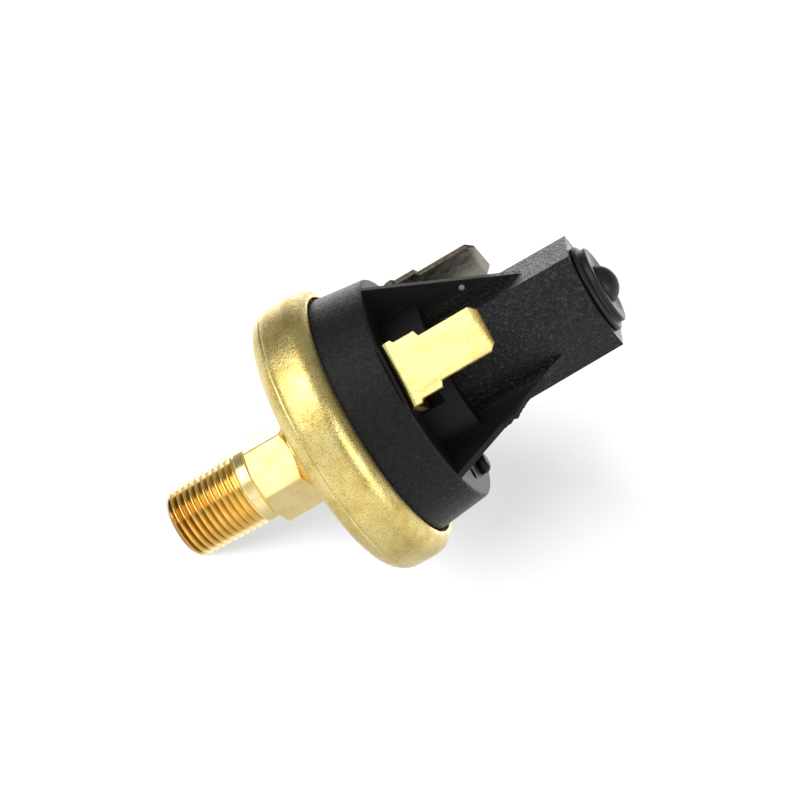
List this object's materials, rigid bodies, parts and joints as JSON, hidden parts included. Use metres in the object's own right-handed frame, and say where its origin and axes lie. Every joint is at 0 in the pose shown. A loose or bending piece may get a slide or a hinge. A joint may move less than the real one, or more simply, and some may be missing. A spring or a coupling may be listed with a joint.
{
  "type": "pressure switch",
  "caption": "Adjustable diaphragm pressure switch: threaded port, crimped cup, ribbed hexagonal body, blade terminals and an end plug.",
  "frame": {"origin": "centre of the open end of the pipe thread, which is the bottom centre of the part", "axes": "+Z along the switch's axis from the pressure port to the rubber plug; the front blade terminal faces -Y"},
  "size_m": [0.0388, 0.0388, 0.0656],
  "materials": {
    "machined_brass": "machined, bright",
    "satin_brass": "tumbled satin",
    "terminal_brass": "stamped, bright",
    "contact_brass": "stamped",
    "contact_silver": "bright silver alloy",
    "steel": "satin",
    "spring_steel": "drawn wire",
    "piston_metal": "machined",
    "insulator": "laminate",
    "diaphragm_film": "smooth film",
    "black_plastic": "fine spark texture",
    "rubber": "smooth, soft sheen"
  },
  "bodies": {
    "housing": {"port_fitting": "machined_brass", "crimped_cup": "satin_brass", "sealing_ring": "rubber", "diaphragm": "diaphragm_film", "clamp_ring": "steel", "guide_plate": "insulator", "range_spring": "spring_steel", "threaded_insert": "machined_brass", "switch_body": "black_plastic", "front_terminal": "terminal_brass", "rear_terminal": "terminal_brass", "terminal_rivets": "machined_brass", "fixed_contacts": "contact_silver", "blanking_plug": "black_plastic"},
    "piston_group": {"piston": "piston_metal", "insulating_bush": "insulator", "contact_disc": "contact_brass", "contact_tips": "contact_silver", "spring_washer": "steel", "lower_spring_seat": "machined_brass"},
    "spring_seat": {"upper_spring_seat": "machined_brass"},
    "adjuster": {"adjusting_screw": "machined_brass"},
    "end_plug": {"rubber_plug": "rubber"}
  },
  "joints": [
    {"name": "piston_travel", "type": "slide", "parent": "housing", "child": "piston_group", "axis": [0, 0, 1], "range_m": [0, 0.0008], "stiffness_N_per_m": 2000, "springref_m": -0.003, "deforming": ["range_spring", "diaphragm"]},
    {"name": "seat_travel", "type": "slide", "parent": "housing", "child": "spring_seat", "axis": [0, 0, 1], "range_m": [-0.001, 0.001], "deforming": ["range_spring"]},
    {"name": "screw_turn", "type": "hinge", "parent": "spring_seat", "child": "adjuster", "pos_m": [0, 0, 0.055], "axis": [0, 0, 1], "range_deg": [-720, 720]},
    {"name": "plug_pull", "type": "slide", "parent": "housing", "child": "end_plug", "axis": [0, 0, 1], "range_m": [0, 0.012]}
  ],
  "couplings": [
    {"joint": "screw_turn", "follows": "seat_travel", "rad_per_m": 12566}
  ]
}
